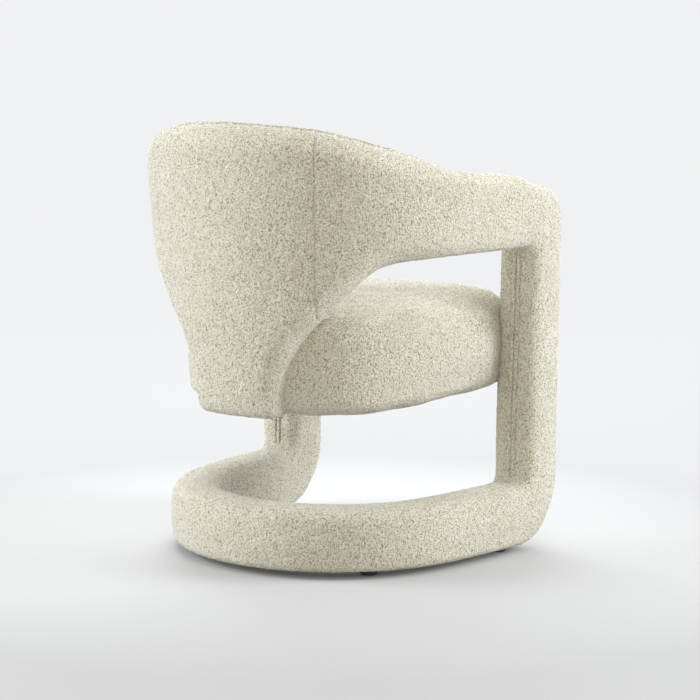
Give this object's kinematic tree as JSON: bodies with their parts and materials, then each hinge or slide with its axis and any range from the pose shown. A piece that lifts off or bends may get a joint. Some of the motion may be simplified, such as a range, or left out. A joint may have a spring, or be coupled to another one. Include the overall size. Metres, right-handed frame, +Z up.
{
  "type": "upholstered armchair",
  "caption": "Barrel armchair in cream boucle: one padded band forms back, arms, front posts and an open floor ring around a round seat.",
  "frame": {"origin": "on the floor, under the middle of the bounding box", "axes": "+Z up; -Y is the front of the chair, where the sitter faces; +X is the sitter's left"},
  "size_m": [0.6516, 0.6274, 0.766],
  "materials": {
    "cover_fabric": "looped boucle weave, cream, matte",
    "cover_piping": "piping covered in the cover's own cloth",
    "foam": "open-cell upholstery foam, matte",
    "lining_cloth": "black spun-bonded lining cloth",
    "fastener_steel": "zinc-plated steel",
    "glide_plastic": "black moulded glide",
    "plywood": "bare birch plywood",
    "hardwood": "bare hardwood"
  },
  "bodies": {
    "root": {"arm_cover_left": "cover_fabric", "arm_cover_right": "cover_fabric", "arm_foam_left": "foam", "arm_foam_right": "foam", "arm_rail_left": "hardwood", "arm_rail_right": "hardwood", "back_cover": "cover_fabric", "back_foam": "foam", "back_shell": "plywood", "base_blocks": "hardwood", "base_cover_left": "cover_fabric", "base_cover_rear": "cover_fabric", "base_cover_right": "cover_fabric", "base_foam_left": "foam", "base_foam_rear": "foam", "base_foam_right": "foam", "base_plate_lower": "plywood", "base_plate_upper": "plywood", "base_sole_cloth": "lining_cloth", "glide_screws": "fastener_steel", "glides": "glide_plastic", "post_core_left": "hardwood", "post_core_right": "hardwood", "post_cover_left": "cover_fabric", "post_cover_right": "cover_fabric", "post_foam_left": "foam", "post_foam_right": "foam", "post_screws": "fastener_steel", "post_welt_left": "cover_piping", "post_welt_right": "cover_piping", "rail_screws": "fastener_steel", "seat_bolts": "fastener_steel", "seat_cover_side": "cover_fabric", "seat_cover_top": "cover_fabric", "seat_cushion": "foam", "seat_deck": "plywood", "seat_dust_cloth": "lining_cloth", "seat_front_rail": "hardwood", "seat_rear_block": "hardwood", "seat_under_foam": "foam", "shell_bolts": "fastener_steel", "wing_shell_left": "plywood", "wing_shell_right": "plywood"}
  },
  "joints": []
}
